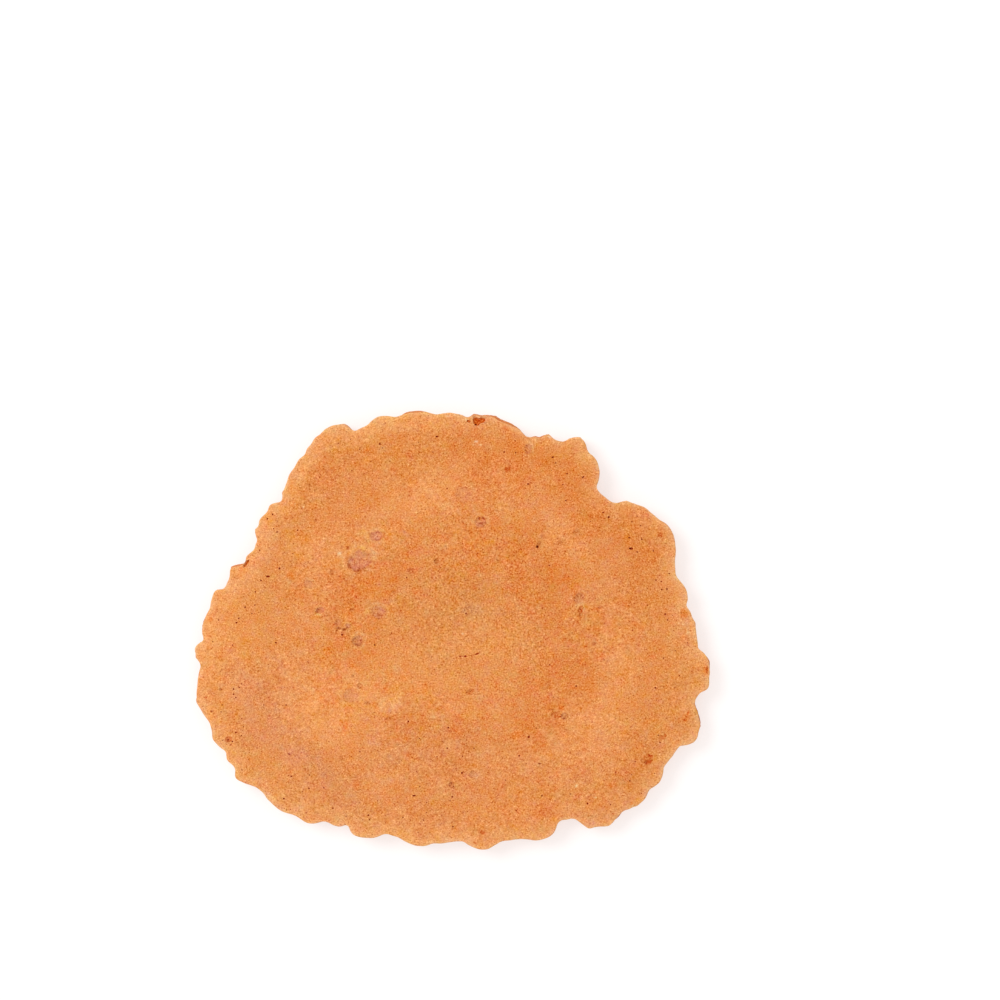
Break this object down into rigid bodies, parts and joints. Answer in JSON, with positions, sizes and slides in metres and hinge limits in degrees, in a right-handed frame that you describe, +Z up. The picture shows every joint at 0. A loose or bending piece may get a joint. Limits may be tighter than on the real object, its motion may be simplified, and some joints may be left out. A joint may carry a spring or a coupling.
{
  "type": "oat cookie",
  "caption": "Thin crisp oat cookie with an uneven lobed rim, a blistered browned top, a crease under the rim's lip and a flat sole.",
  "frame": {"origin": "on the table, under the middle of the cookie's outline", "axes": "+Z up through the thickness, +X along the cookie's longest way across, +Y towards the rim with the torn bubble"},
  "size_m": [0.0906, 0.0772, 0.0048],
  "materials": {
    "baked_dough": "matt, finely grained baked skin, orange tan, paler at the rim"
  },
  "bodies": {
    "root": {"cookie": "baked_dough"}
  },
  "joints": []
}
